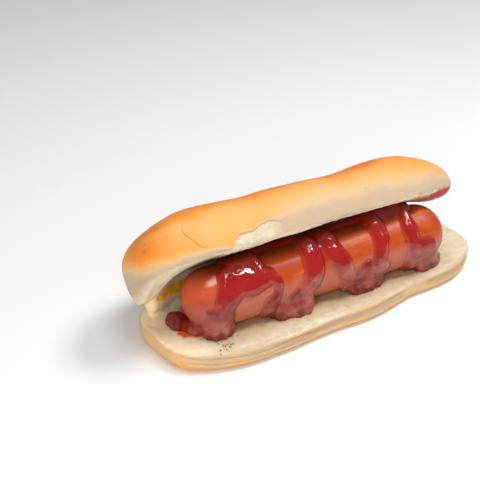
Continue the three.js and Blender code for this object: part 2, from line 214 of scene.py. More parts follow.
def spots(points, table):
    """Soft round spots, each full at its middle and gone well outside its reach."""
    return sum(
        strength * np.exp(-np.sum(((points - np.array(middle)) / np.array(reach)) ** 2, axis=1))
        for middle, reach, strength in table
    )


def signed_power(value, power):
    return np.sign(value) * np.abs(value) ** power


def read_line(line, x):
    """Height of a bent line over places along it."""
    return np.interp(x, [p[0] for p in line], [p[1] for p in line])


def to_line(line, x, y):
    """Distance from places to a bent line."""
    nearest = np.full(len(x), 1e9)
    for (x0, y0), (x1, y1) in zip(line, line[1:]):
        step = np.array([x1 - x0, y1 - y0])
        rel = np.stack([x - x0, y - y0], axis=1)
        t = np.clip(rel @ step / (step @ step), 0, 1)
        nearest = np.minimum(nearest, np.linalg.norm(rel - t[:, None] * step, axis=1))
    return nearest


def through(points, t):
    """A smooth curve through the points, read at t from 0 to 1."""
    knots = np.array([points[0], *points, points[-1]], dtype=float)
    place = np.clip(t, 0, 1) * (len(points) - 1)
    i = np.minimum(place.astype(int), len(points) - 2)
    f = (place - i)[:, None]
    a, b, c, d = knots[i], knots[i + 1], knots[i + 2], knots[i + 3]
    return 0.5 * (2 * b + (c - a) * f + (2 * a - 5 * b + 4 * c - d) * f**2 + (3 * b - a - 3 * c + d) * f**3)


def ripple(points, size, seed):
    """Soft noise of about that size, from -1 to 1."""
    shift = Vector((seed * 7.31, seed * 3.17, seed * 5.77))
    return np.array([noise.noise(Vector(p) / size + shift) for p in points])


def read_vectors(mesh, kind):
    flat = np.empty(len(mesh.vertices) * 3)
    mesh.vertices.foreach_get(kind, flat)
    return flat.reshape(-1, 3)


def read_points(mesh):
    return read_vectors(mesh, "co") / MM - MIDDLE


def write_points(mesh, points):
    mesh.vertices.foreach_set("co", ((points + MIDDLE) * MM).ravel())
    mesh.update()


def push_out(mesh, points, heights):
    """The points moved out of the surface by those heights."""
    return points + read_vectors(mesh, "normal") * heights[:, None]


def paint(mesh, painted):
    """Named values at each point of the mesh, for its material to read."""
    for name, values in painted.items():
        layer = mesh.attributes.new(name, "FLOAT", "POINT")
        layer.data.foreach_set("value", np.asarray(values, dtype=np.float32))


def wrap_sheet(around, rows):
    """A sheet to be wrapped shut, and for each of its points how far round and how far up it lies, 0 to 1."""
    bm = bmesh.new()
    bmesh.ops.create_grid(bm, x_segments=around, y_segments=rows, size=0.5)
    flat = np.array([v.co[:] for v in bm.verts])
    return bm, flat[:, 0] + 0.5, flat[:, 1] + 0.5


def shape_verts(bm, points):
    """Sets the points, in millimetres, and shuts the seam and the poles."""
    for vert, point in zip(bm.verts, points):
        vert.co = point
    bmesh.ops.remove_doubles(bm, verts=bm.verts, dist=1e-3)
    bmesh.ops.recalc_face_normals(bm, faces=bm.faces)


def join_into(bm, other):
    """Adds the faces of one bmesh to another."""
    mesh = bpy.data.meshes.new("joined")
    other.to_mesh(mesh)
    other.free()
    bm.from_mesh(mesh)
    bpy.data.meshes.remove(mesh)


def object_from(bm, name):
    mesh = bpy.data.meshes.new(name)
    bm.to_mesh(mesh)
    bm.free()
    obj = bpy.data.objects.new(name, mesh)
    bpy.context.collection.objects.link(obj)
    return obj


def placed_object(bm, name):
    """An object from a bmesh in millimetres, in its place and in metres."""
    for vert in bm.verts:
        vert.co = (vert.co + Vector(MIDDLE)) * MM
    return object_from(bm, name)


def opened(mesh):
    bm = bmesh.new()
    bm.from_mesh(mesh)
    return bm


def put_back(bm, mesh):
    bm.to_mesh(mesh)
    bm.free()


def finished_mesh(obj):
    """The object's mesh takes the result of its modifiers, which are then dropped."""
    graph = bpy.context.evaluated_depsgraph_get()
    mesh = bpy.data.meshes.new_from_object(obj.evaluated_get(graph))
    obj.modifiers.clear()
    old = obj.data
    obj.data = mesh
    bpy.data.meshes.remove(old)
    mesh.name = obj.name


def remesh(obj, voxel):
    """Joins what overlaps into one skin of even small faces."""
    skin = obj.modifiers.new("skin", "REMESH")
    skin.mode = "VOXEL"
    skin.voxel_size = voxel * MM
    finished_mesh(obj)


def carve(obj, tool):
    """Cuts the tool's body out of the object, and drops the tool."""
    cut = obj.modifiers.new("cut", "BOOLEAN")
    cut.operation = "DIFFERENCE"
    cut.solver = "MANIFOLD"
    cut.object = tool
    finished_mesh(obj)
    bpy.data.objects.remove(tool)


def soften(mesh, times, below=math.inf):
    """Evens the surface out, or only what lies below a height."""
    bm = opened(mesh)
    verts = [v for v in bm.verts if v.co.z < below * MM]
    for _ in range(times):
        bmesh.ops.smooth_vert(bm, verts=verts, factor=0.5, use_axis_x=True, use_axis_y=True, use_axis_z=True)
    put_back(bm, mesh)


def refine(mesh, wanted, cuts):
    """Cuts the edges into shorter ones wherever fine detail is wanted."""
    chosen = wanted(read_points(mesh))
    bm = opened(mesh)
    edges = [e for e in bm.edges if chosen[e.verts[0].index] and chosen[e.verts[1].index]]
    bmesh.ops.subdivide_edges(bm, edges=edges, cuts=cuts, use_grid_fill=True)
    put_back(bm, mesh)


def shade_smooth(mesh):
    mesh.polygons.foreach_set("use_smooth", [True] * len(mesh.polygons))
    mesh.update()


def sharpen(mesh, degrees):
    """Keeps the edges sharp where faces meet at more than that angle."""
    bm = opened(mesh)
    for edge in bm.edges:
        edge.smooth = edge.calc_face_angle(0) < math.radians(degrees)
    put_back(bm, mesh)


# Forms of the roll


def plan_point(angle, half):
    """A point on the outline of a half, seen from above."""
    power = np.where(np.cos(angle) < 0, half["left_power"], half["right_power"])
    x = half["length"] / 2 * signed_power(np.cos(angle), 2 / power)
    y = half["width"] / 2 * signed_power(np.sin(angle), 2 / power)
    return x, y


def plan_outward(x, y, half):
    """The way out from that outline."""
    power = np.where(x < 0, half["left_power"], half["right_power"])
    across = signed_power(2 * x / half["length"], power - 1) / half["length"]
    deep = signed_power(2 * y / half["width"], power - 1) / half["width"]
    length = np.hypot(across, deep) + 1e-12
    return across / length, deep / length


def even_plan(turn, half):
    """Points spaced evenly round that outline."""
    angles = np.linspace(0, 2 * math.pi, 6001)
    x, y = plan_point(angles, half)
    run = np.concatenate([[0], np.cumsum(np.hypot(np.diff(x), np.diff(y)))])
    return plan_point(np.interp(turn * run[-1], run, angles), half)


def inset_from(x, y, half):
    """Roughly how far a place lies inside that outline."""
    power = np.where(x < 0, half["left_power"], half["right_power"])
    reach = (np.abs(2 * x / half["length"]) ** power + np.abs(2 * y / half["width"]) ** power) ** (1 / power)
    return (1 - reach) * np.hypot(x, y) / np.maximum(reach, 0.2)


def side_swell(x, outward_y):
    front = np.maximum(0, -outward_y) ** 2
    back = np.maximum(0, outward_y) ** 2
    return front * swell(x, FRONT_WAVES) + back * swell(x, BACK_WAVES)


def crumb_rise(x, y):
    """Low waves of a cut face."""
    return 0.22 * np.sin(x / 9.5 + 0.6) * np.cos(y / 7.2) + 0.15 * np.sin(x / 4.7 - y / 5.1)


def lower_half():
    """The base: from the middle of its underside out, up the side wall and in over the cut face."""
    bm, turn, up = wrap_sheet(*SHEETS["base"])
    wall_from, wall_to = 0.25, 0.55
    x, y = even_plan(turn, LOWER)
    out_x, out_y = plan_outward(x, y, LOWER)
    wall = through(WALL, (up - wall_from) / (wall_to - wall_from))
    under = up < wall_from
    over = up > wall_to
    part = np.where(under, up / wall_from, np.where(over, (1 - up) / (1 - wall_to), 1))
    inset = np.where(under, WALL[0][0] * part, np.where(over, WALL[-1][0] * part, wall[:, 0]))
    z = np.where(under, 0, np.where(over, LOWER["height"], wall[:, 1]))
    move = part * side_swell(x, out_y) - inset
    px, py = x * part + out_x * move, y * part + out_y * move
    shape_verts(bm, np.stack([px, py, z + over * crumb_rise(px, py)], axis=1))
    return bm


def open_top(local):
    """From the frame of the top, whose cut face is its floor, to the frame of the hot dog."""
    along = 2 * local[:, 0] / UPPER["length"]
    angle = np.radians(TILT + TWIST * along)
    y = local[:, 1] * np.cos(angle) + local[:, 2] * np.sin(angle)
    z = local[:, 2] * np.cos(angle) - local[:, 1] * np.sin(angle) - DROP_TO_RIGHT * along
    return np.stack([local[:, 0], y, z], axis=1) + TOP_CENTRE


def shut_top(points):
    """The way back, from the frame of the hot dog to the frame of the top."""
    moved = points - TOP_CENTRE
    along = 2 * moved[:, 0] / UPPER["length"]
    angle = np.radians(TILT + TWIST * along)
    z = moved[:, 2] + DROP_TO_RIGHT * along
    y = moved[:, 1] * np.cos(angle) - z * np.sin(angle)
    return np.stack([moved[:, 0], y, moved[:, 1] * np.sin(angle) + z * np.cos(angle)], axis=1)


def sag(x, y, off):
    """How far the bread hangs below the cut plane, where off is 0 at the rim and 1 on the crumb."""
    return sum(
        np.maximum(off, rim) * depth * hump(x - at, along) * hump(y - deep, across)
        for at, deep, depth, along, across, rim in SAGS
    )


def flake_lift(x, height, outward_y):
    """How far the loose crust stands off from the side of the top."""
    middle = (FLAKE["start"] + FLAKE["stop"]) / 2
    across = np.abs(x - middle) / ((FLAKE["stop"] - FLAKE["start"]) / 2)
    within = FLAKE["height"] * (1 - across) - height
    return np.where(outward_y < 0, FLAKE["lift"] * smoothstep(within, -0.4, 1), 0)


def dome_height(x):
    return RISE + RISE_SLOPE * 2 * x / UPPER["length"] + swell(x, DOME_WAVES)


def upper_half():
    """The top, swung open: from the middle of its cut face out to the rim, and up over the dome."""
    bm, turn, up = wrap_sheet(*SHEETS["top"])
    face_share = 0.35
    rim_share = 0.06
    x, y = even_plan(turn, UPPER)
    out_x, out_y = plan_outward(x, y, UPPER)
    on_face = up < face_share
    part = np.where(on_face, up / face_share, 1)
    angle = np.clip((up - face_share) / (1 - face_share), 0, 1) * math.pi / 2
    spread = np.abs(np.cos(angle)) ** (2 / DOME_POWER)
    height = dome_height(x * spread) * np.sin(angle) ** (2 / DOME_POWER)
    move = (flake_lift(x, height, out_y) + TOP_SHARE * side_swell(x, out_y)) * spread**2
    hang = np.maximum(0, 1 - height / RIM_HANG) ** 2 * sag(x, y, 0)
    dome = np.stack([x * spread + out_x * move, y * spread + out_y * move, height - hang], axis=1)
    flat_x, flat_y = x * part, y * part
    off = np.minimum(1, (1 - part) / rim_share)
    depth = off * crumb_rise(flat_x, flat_y) + sag(flat_x, flat_y, off)
    face = np.stack([flat_x, flat_y, -depth], axis=1)
    shape_verts(bm, open_top(np.where(on_face[:, None], face, dome)))
    return bm


def top_face_height(x, y):
    """Height of the cut face of the top over a place on the base."""
    along = 2 * (x - TOP_CENTRE[0]) / UPPER["length"]
    angle = np.radians(TILT + TWIST * along)
    return TOP_CENTRE[2] - DROP_TO_RIGHT * along - (y - TOP_CENTRE[1]) * np.tan(angle)


def hinge_fold():
    """The bread that joins the halves, a long oval bead that thins out at both ends."""
    bm, turn, up = wrap_sheet(*SHEETS["hinge"])
    x, y = even_plan(FOLD["start"] + (FOLD["stop"] - FOLD["start"]) * up, LOWER)
    out_x, out_y = plan_outward(x, y, LOWER)
    to_end = np.minimum(1, np.minimum(up, 1 - up) / FOLD["taper"])
    full = np.sqrt(1 - (1 - to_end) ** 2)
    x, y = x - FOLD["inset"] * out_x, y - FOLD["inset"] * out_y
    low = LOWER["height"] - FOLD["grip"]
    high = top_face_height(x, y) + FOLD["grip"]
    angle = 2 * math.pi * turn
    px = x + full * FOLD["depth"] * np.cos(angle) * out_x
    py = y + full * FOLD["depth"] * np.cos(angle) * out_y
    z = (low + high) / 2 + full * (high - low) * np.sin(angle) / 2
    shape_verts(bm, np.stack([px, py, z], axis=1))
    return bm


# Round the frankfurter


def along_sausage(points):
    """Place along the frankfurter, distance from its axis, and the way out from the axis."""
    rel = points - SAUSAGE_CENTRE
    along = rel @ SAUSAGE_AXIS
    held = np.clip(along, -SAUSAGE_STRAIGHT / 2, SAUSAGE_STRAIGHT / 2)
    away = rel - held[:, None] * SAUSAGE_AXIS
    distance = np.linalg.norm(away, axis=1) + 1e-9
    return along, distance, away / distance[:, None]


def sausage_angle(points):
    """Degrees round the frankfurter, from its top towards the front."""
    rel = points - SAUSAGE_CENTRE
    return np.degrees(np.arctan2(rel @ SAUSAGE_FRONT, rel[:, 2]))


def sausage_frame(along, across, up):
    """From lengths along the frankfurter, towards the front and up, to the frame of the hot dog."""
    level = along[:, None] * SAUSAGE_AXIS + across[:, None] * SAUSAGE_FRONT
    return SAUSAGE_CENTRE + level + up[:, None] * np.array([0, 0, 1.0])


def round_ended(up, radius):
    """Run of each row along a body with round ends, its bend round an end, and how far it runs straight."""
    run = (up - 0.5) * (SAUSAGE_STRAIGHT + math.pi * radius)
    bend = np.clip((np.abs(run) - SAUSAGE_STRAIGHT / 2) / radius, 0, math.pi / 2)
    return run, bend, np.minimum(np.abs(run), SAUSAGE_STRAIGHT / 2)


def press_sausage_in(points):
    """Crumb that the frankfurter would cover is pushed out to its surface."""
    _, distance, away = along_sausage(points)
    wanted = SAUSAGE_RADIUS + CLEARANCE
    return points + away * np.maximum(0, wanted - distance)[:, None]


# Crust and crumb of the roll


class Places:
    """Where each point of the roll lies: on the top or the base, on crust or on crumb."""

    def __init__(self, points):
        self.points = points
        self.x, self.y, self.z = points.T
        self.top = shut_top(points)
        self.top_x, self.top_y, self.top_z = self.top.T
        self.base_inset = inset_from(self.x, self.y, LOWER)
        self.top_inset = inset_from(self.top_x, self.top_y, UPPER)
        hanging_rim = (self.top_z > -9) & (self.z > 12) & (self.top_inset < 2) & (self.x < -55)
        self.is_top = (self.top_z > -CUT_DEPTH) | hanging_rim
        self.on_front = self.top_y < FRONT_SIDE

    def crumb(self):
        """1 on the torn and cut crumb, 0 on the crust."""
        on_base = smoothstep(self.z, 6.9, 7.7) * smoothstep(self.base_inset, 0.2, 1.3)
        on_top = fade(self.top_z, 0.0, 0.7) * smoothstep(self.top_inset, 0.0, 0.9)
        inside = smoothstep(self.base_inset, 3.0, 6.0) * smoothstep(self.z, 7.4, 8.2)
        between = np.where(self.top_z < 0.3, inside, 0)
        before_hinge = fade(self.y, 21.5, 24)
        return np.clip(np.maximum(np.where(self.is_top, on_top, on_base), between) * before_hinge, 0, 1)

    def torn(self):
        """1 on the pale patch that the torn flake has laid bare."""
        edge = read_line(FLAP, self.top_x)
        start = FLAP[0][0]
        along = smoothstep(self.top_x, start - 0.5, start + 0.5) * fade(self.top_x, -31, -21)
        below = fade(self.top_z, edge - 0.4, edge + 0.4)
        return np.where(self.on_front & self.is_top, along * below, 0)

    def bake(self):
        """0 on pale crust, 1 on the darkest golden crust."""
        x, y, z = self.top.T
        behind_left_end = 4.2 * smoothstep(y, -12, 6) * smoothstep(-x, 70, 77)
        edge = read_line(PALE_EDGE, x) + behind_left_end + 0.5 * ripple(self.points, 4, 21)
        blend = read_line(GOLD_BLEND, x)
        over = smoothstep(z, edge - 0.5 - 0.25 * np.maximum(0, blend - 3), edge + blend)
        crest = smoothstep(z, 13.5, 18) * smoothstep(y, -25, -12) * (1 - 0.5 * smoothstep(y, -4, 18))
        mottle = 0.2 * ripple(self.points, 16, 22) + 0.1 * ripple(self.points, 6, 23)
        rear = 1 - 0.75 * smoothstep(y, 14, 27) * fade(z, 4, 12)
        top = over * (0.44 + 0.34 * crest + spots(self.top, BROWNED) + mottle) * rear
        base = 0.12 + 0.22 * fade(self.z, 1.2, 4.6) + 0.1 * smoothstep(-self.x, 66, 76) * (self.z < 8)
        return np.where(self.is_top, top, base)

    def yellow_fold_strip(self):
        """1 in the yellow strip deep in the fold at the left."""
        (x0, z0), (x1, z1) = YELLOW_FOLD_STRIP["start"], YELLOW_FOLD_STRIP["stop"]
        thin, thick = YELLOW_FOLD_STRIP["half"]
        t = np.clip((self.x - x0) / (x1 - x0), 0, 1)
        half = thin + (thick - thin) * t + 0.5 * ripple(self.points, 3, 24)
        band = fade(np.abs(self.z - z0 - (z1 - z0) * t), 0.7 * half, 1.25 * half)
        in_fold = (self.y < 21) & (self.top_z < -2) & (self.base_inset > 0.5)
        return band * smoothstep(self.x, x0, x0 + 4) * in_fold

    def smear(self):
        """1 where ketchup coats the cut face of the top, at its right end."""
        x, y, z = self.top.T
        ragged = 0.9 * ripple(self.points, 3, 25)
        along = smoothstep(x + 2 * ragged, 38, 44) * fade(x + ragged, 69, 72)
        below_rim = smoothstep(-z + 0.3 * ragged + 1.6 * smoothstep(x, 50, 60), 1.0, 1.6)
        near_rim = fade(self.top_inset + ragged, 4.5, 7) * (y < -6)
        return np.where(z < 1.5, along * below_rim * near_rim, 0) * (self.z > 20)

    def grease_and_shadow(self):
        """1 where the crumb of the base beside the frankfurter is painted a darker brown: partly fat drawn
        into it, partly painted shadow of the frankfurter.
        """
        along, _, _ = along_sausage(self.points)
        aside = np.abs((self.points - SAUSAGE_CENTRE) @ SAUSAGE_FRONT)
        beyond = np.hypot(aside, np.maximum(0, np.abs(along) - SAUSAGE_STRAIGHT / 2))
        rough = beyond + 1.6 * ripple(self.points, 4, 26)
        near = np.maximum(fade(rough, 10, 15), 0.7 * fade(rough, 13, 23))
        near = near * smoothstep(self.x, -68, -54) * (1 - 0.5 * smoothstep(self.x, 25, 60))
        return near * (self.z < 11) * (self.z > 5)

    def juice_and_shade(self):
        """1 on the top's crumb over the frankfurter, painted reddish brown: partly juice drawn up into it,
        partly painted shade under the top.
        """
        _, distance, _ = along_sausage(self.points)
        near = fade(distance + 1.2 * ripple(self.points, 5, 29), 16, 22) * smoothstep(self.x, -68, -58)
        return near * (self.z > 14) * (self.top_z < 0.3) * smoothstep(self.top_inset, 0.8, 2.5)

    def stain(self):
        """1 where thin sauce has seeped into the crumb of the base."""
        return smoothstep(spots(self.points, STAINS) + 0.3 * ripple(self.points, 2.2, 8), 0.4, 0.8)

    def lightened_left_end(self):
        """1 where the crumb at the left end of the base, and in the fold there, is painted lighter and
        warmer: painted light in the shade of the top's left end.
        """
        near_end = fade(self.x + 1.5 * ripple(self.points, 6, 38), -73, -60)
        in_fold = fade(self.x, -56, -46) * smoothstep(self.y, 3, 9) * smoothstep(self.z, 9, 13)
        return np.maximum(near_end * (self.z < 19), in_fold * (self.top_z < 0)) * (self.z > 5)

    def on_rim(self):
        """1 along the front side wall of the base and its cut edge."""
        wall = fade(self.base_inset, 1.2, 2.6) * fade(self.z, 8.2, 9.2)
        return wall * fade(self.y, -4, 6) * smoothstep(self.z, 0.4, 1.6)

    def layers(self):
        """Thin layers that peel along the left of that wall: from 0 in a seam to 1 on a layer's edge."""
        drawn_out = self.points * np.array([0.25, 0.25, 1])
        phase = (self.z + 0.02 * self.x + 1.1 * ripple(drawn_out, 4, 33)) / LAYERS["spacing"]
        start, stop, reach = LAYERS["start"], LAYERS["stop"], LAYERS["fade"]
        along = smoothstep(self.x, start, start + reach / 2) * fade(self.x, stop, stop + reach)
        return along * self.on_rim() * (phase - np.floor(phase)) ** 0.7

    def side_shade(self):
        """Up to 1 in the dull band along the base's side wall, and less on the wall of the top's left end."""
        z = self.z + 0.5 * ripple(self.points, 9, 28)
        band = smoothstep(z, 3.0, 4.4) * fade(z, 6.2, 7.2) * smoothstep(self.x, -48, -22)
        band = band * fade(self.base_inset, 1.0, 2.0) * fade(self.y, -12, 6)
        left_end = smoothstep(-self.x, 50, 64) * fade(self.top_z, -0.5, 2) * self.is_top
        return np.maximum(band, 0.6 * left_end * (self.z > 12))

    def crack(self):
        """1 in the cracks and pits of the crust."""
        x, _, z = self.top.T
        line = fade(to_line(CRACK, x + 0.5 * ripple(self.points, 3, 27), z), 0.1, CRACK_WIDTH)
        line = line * (0.75 + 0.25 * np.sin(1.3 * z))
        flap = fade(to_line(FLAP[1:], x, z), 0.1, 0.6)
        pits = sum(fade(np.hypot(x - px, z - pz), 0.2, size) for px, pz, size in PITS)
        found = np.clip(line + 0.55 * flap + 0.6 * pits, 0, 1)
        return np.where(self.on_front & (z > 0.5), found, 0)


def on_torn_crust(points):
    """Whether points lie by the crack, the pits or the torn flake of the top."""
    x, y, z = shut_top(points).T
    near = np.minimum(to_line(CRACK, x, z), to_line(FLAP, x, z))
    for px, pz, _ in PITS:
        near = np.minimum(near, np.hypot(x - px, z - pz))
    return (near < 2.2) & (y < FRONT_SIDE) & (z > -0.5)


def on_peeling_rim(points):
    """Whether points lie on the side wall of the base where its crust peels."""
    return (Places(points).on_rim() > 0.02) & (points[:, 0] < LAYERS["stop"] + LAYERS["fade"])


def crumb_relief(points):
    """Pores and low waves of the crumb."""
    pores = np.maximum(0, ripple(points, 2.3, 1) - 0.15) * -1.1
    fine = ripple(points, 1.3, 2) * 0.12
    long_waves = ripple(points * np.array([0.45, 1, 1]), 6, 3) * 0.3
    return 0.8 * pores + fine + 0.7 * long_waves


def rim_relief(points, places):
    """Ragged lip, crease and peeling layers of the base's side wall."""
    x, _, z = points.T
    ragged = ripple(points, 2.4, 34) + 0.5 * ripple(points, 1.3, 35)
    lip = 0.35 * hump(z - 7.3, 0.6) + 0.3 * ragged * smoothstep(z, 6.2, 7.4)
    crease = GROOVE["depth"] * hump(z - GROOVE["height"] - 0.5 * np.sin(x / 14), GROOVE["reach"])
    grain = 0.12 * ripple(points * np.array([0.4, 1, 1]), 2.2, 36)
    on_rim = places.on_rim()
    peeled = 0.5 * on_rim * fade(x, LAYERS["stop"], LAYERS["stop"] + LAYERS["fade"])
    layers = LAYERS["depth"] * (places.layers() - peeled)
    return on_rim * (lip - crease * smoothstep(x, -40, -20) + grain) + layers


def top_relief(points, places):
    """Uneven rim of the top, its torn crust and cracks, and the ketchup smeared on it."""
    x, z = places.top_x, places.top_z
    rim = fade(np.abs(z), 0.4, 1.6) * fade(places.top_inset, 1.0, 2.5) * places.is_top
    bare = places.torn() * (0.3 + 0.35 * ripple(points, 1.6, 6))
    edge = read_line(FLAP, x)
    flap = smoothstep(z, edge - 0.2, edge + 0.3) * fade(z, edge + 1, edge + 4)
    start = FLAP[0][0]
    flap = flap * smoothstep(x, start, start + 5) * fade(x, -34, -26) * (places.on_front & places.is_top)
    height = 0.55 * rim * ripple(points, 2.6, 30) + bare + 0.5 * places.smear()
    return height + FLAP_STEP * flap - CRACK_DEPTH * places.crack()


def roll_relief(points, places):
    """How far the surface of the roll stands proud of its smooth form."""
    skin = 0.28 * ripple(points, 12, 4) + 0.05 * ripple(points, 3, 5)
    crumb = places.crumb()
    height = crumb * crumb_relief(points) + (1 - crumb) * skin
    return height + rim_relief(points, places) + top_relief(points, places)


def make_roll():
    bm = lower_half()
    join_into(bm, upper_half())
    join_into(bm, hinge_fold())
    roll = placed_object(bm, "roll")
    remesh(roll, ROLL_VOXEL)
    soften(roll.data, 1)
    refine(roll.data, on_peeling_rim, RIM_CUTS)
    refine(roll.data, on_torn_crust, TORN_CUTS)
    mesh = roll.data
    points = read_points(mesh)
    places = Places(points)
    moved = press_sausage_in(push_out(mesh, points, roll_relief(points, places)))
    moved[:, 2] = np.maximum(moved[:, 2], 0)
    write_points(mesh, moved)
    paint(mesh, {
        "crumb": np.maximum(places.crumb(), 0.85 * places.torn()),
        "bake": places.bake(),
        "crack": places.crack(),
        "yellow_fold_strip": places.yellow_fold_strip(),
        "smear": places.smear(),
        "grease_and_shadow": places.grease_and_shadow(),
        "side_shade": places.side_shade(),
        "juice_and_shade": places.juice_and_shade(),
        "stain": places.stain(),
        "lightened_left_end": places.lightened_left_end(),
    })
    shade_smooth(mesh)
    return roll


# The frankfurter


def make_sausage():
    bm, turn, up = wrap_sheet(*SHEETS["frankfurter"])
    run, bend, straight = round_ended(up, SAUSAGE_RADIUS)
    across = np.abs(np.cos(bend)) ** (2 / SAUSAGE_END_POWER)
    beyond = np.sin(bend) ** (2 / SAUSAGE_END_POWER)
    along = np.sign(run) * (straight + SAUSAGE_RADIUS * beyond)
    radius = SAUSAGE_RADIUS + SAUSAGE_WAVER * np.sin(along / 7)
    angle = 2 * math.pi * turn
    shape_verts(bm, sausage_frame(along, radius * across * np.sin(angle), radius * across * np.cos(angle)))
    sausage = placed_object(bm, "frankfurter")
    mesh = sausage.data
    points = read_points(mesh)
    along, _, _ = along_sausage(points)
    turned = sausage_angle(points)
    # Painted highlight on the left cap, with a ragged edge
    highlight_spot = spots(points + 0.5 * ripple(points, 2.4, 41)[:, None], CAP_HIGHLIGHT_SPOTS)
    paint(mesh, {
        # Painted shade: the casing is painted dark brown just under the lip of the top, which shades it
        "shaded_under_top": fade(turned, 2, 30) * fade(along, 42, 50) * smoothstep(along, -60, -50),
        # Painted reflection: the casing's underside is painted pinkish, as the crumb below would be reflected
        # in it
        "underside": smoothstep(turned + 8 * ripple(points, 7, 31), 60, 84),
        "film": smoothstep(turned + 8 * ripple(points, 5, 37), 38, 76) * smoothstep(-along, 45, 53),
        # painted highlight on the left cap
        "painted_cap_highlight": smoothstep(highlight_spot, 0.15, 0.85),
        "cap": smoothstep(-along, SAUSAGE_STRAIGHT / 2 - 3, SAUSAGE_STRAIGHT / 2 + 6),
    })
    shade_smooth(mesh)
    return sausage


# The ketchup


def beyond_stroke(stroke, along, around):
    """How far places on the unrolled frankfurter lie outside a stroke."""
    nearest = np.full(len(along), 1e9)
    for (s0, d0, w0), (s1, d1, w1) in zip(stroke, stroke[1:]):
        a = np.array([s0, math.radians(d0) * SAUSAGE_RADIUS])
        b = np.array([s1, math.radians(d1) * SAUSAGE_RADIUS])
        step = b - a
        rel = np.stack([along, around], axis=1) - a
        t = np.clip(rel @ step / (step @ step), 0, 1)
        distance = np.linalg.norm(rel - t[:, None] * step, axis=1) - (w0 + (w1 - w0) * t)
        nearest = np.minimum(nearest, distance)
    return nearest


def sauce_height(along, angle, wander):
    """How high the sauce stands on the frankfurter, with its outlines moved by the wander."""
    around = angle * SAUSAGE_RADIUS
    outside = np.min([beyond_stroke(stroke, along, around) for stroke in STROKES.values()], axis=0) + wander
    degrees = np.degrees(angle)
    crown = STROKE_THICKNESS + BEAD["rise"] * hump(degrees - BEAD["at"], BEAD["reach"])
    gap = ((along - PLUG["along"]) / PLUG["length"]) ** 2 + ((degrees - PLUG["at"]) / PLUG["reach"]) ** 2
    crown = crown + PLUG["rise"] * np.exp(-gap)
    depth = np.maximum(0, -outside) * EDGE_SLOPE / STROKE_THICKNESS
    inside = crown * (1 - np.exp(-(depth ** 1.35)))
    return np.where(outside > 0, np.maximum(BARE, -FEATHER * outside - 0.3 * outside ** 2), inside)


def ball_ended(bm, run, bend, straight, radius, angle):
    """Sets the sheet round the frankfurter's axis at that distance, with ball ends."""
    along = np.sign(run) * (straight + radius * np.sin(bend))
    across = radius * np.cos(bend)
    shape_verts(bm, sausage_frame(along, across * np.sin(angle), across * np.cos(angle)))


def sauce_shell():
    """A sheet round the frankfurter that rises where the strokes run and lies under its skin elsewhere."""
    bm, turn, up = wrap_sheet(*SHEETS["sauce"])
    run, bend, straight = round_ended(up, SAUSAGE_RADIUS)
    angle = 2 * math.pi * ((turn + 0.5) % 1 - 0.5)
    along = np.sign(run) * (straight + SAUSAGE_RADIUS * np.sin(bend))
    unrolled = np.stack([along, SAUSAGE_RADIUS * angle, 0 * along], axis=1)
    wander = 0.45 * ripple(unrolled, 5, 11) + 0.2 * ripple(unrolled, 2.4, 12)
    height = np.where(np.cos(bend) < 1e-6, BARE, sauce_height(along, angle, wander))
    ball_ended(bm, run, bend, straight, SAUSAGE_RADIUS + height, angle)
    return bm


def foot(middle, half_sizes):
    bm, turn, up = wrap_sheet(*SHEETS["foot"])
    tall = (up - 0.5) * math.pi
    round_about = 2 * math.pi * turn
    across = np.cos(tall)
    unit = np.stack([across * np.cos(round_about), across * np.sin(round_about), np.sin(tall)], axis=1)
    shape_verts(bm, np.array(middle) + unit * np.array(half_sizes))
    return bm


def shrunk_sausage(depth):
    """The frankfurter's body with its skin moved in, as a tool."""
    bm, turn, up = wrap_sheet(*SHEETS["frankfurter"])
    radius = SAUSAGE_RADIUS - depth
    ball_ended(bm, *round_ended(up, radius), radius, 2 * math.pi * turn)
    return placed_object(bm, "core")


def trim_below(mesh, height):
    """Cuts off what lies below a height, and shuts the cut."""
    bm = opened(mesh)
    everything = bm.verts[:] + bm.edges[:] + bm.faces[:]
    cut = bmesh.ops.bisect_plane(
        bm, geom=everything, dist=1e-7, plane_co=(0, 0, height * MM), plane_no=(0, 0, 1), clear_inner=True
    )
    rim = [e for e in cut["geom_cut"] if isinstance(e, bmesh.types.BMEdge)]
    bmesh.ops.holes_fill(bm, edges=rim, sides=0)
    bmesh.ops.dissolve_verts(bm, verts=[v for v in bm.verts if len(v.link_edges) == 2])
    bmesh.ops.triangulate(bm, faces=[f for f in bm.faces if len(f.verts) > 4])
    put_back(bm, mesh)


def sauce_lumps(points):
    """How far lumps stand out of the sauce, most of all in its feet."""
    low = fade(points[:, 2], 9, 16)
    ragged = 0.75 * ripple(points, 3, 14) + 0.45 * ripple(points, 1.7, 16)
    lumps = (0.24 + spots(points, BLOB_LUMPS)) * ripple(points, 5, 13) + low * ragged
    _, distance, _ = along_sausage(points)
    return lumps * smoothstep(distance, SAUSAGE_RADIUS, SAUSAGE_RADIUS + 1)


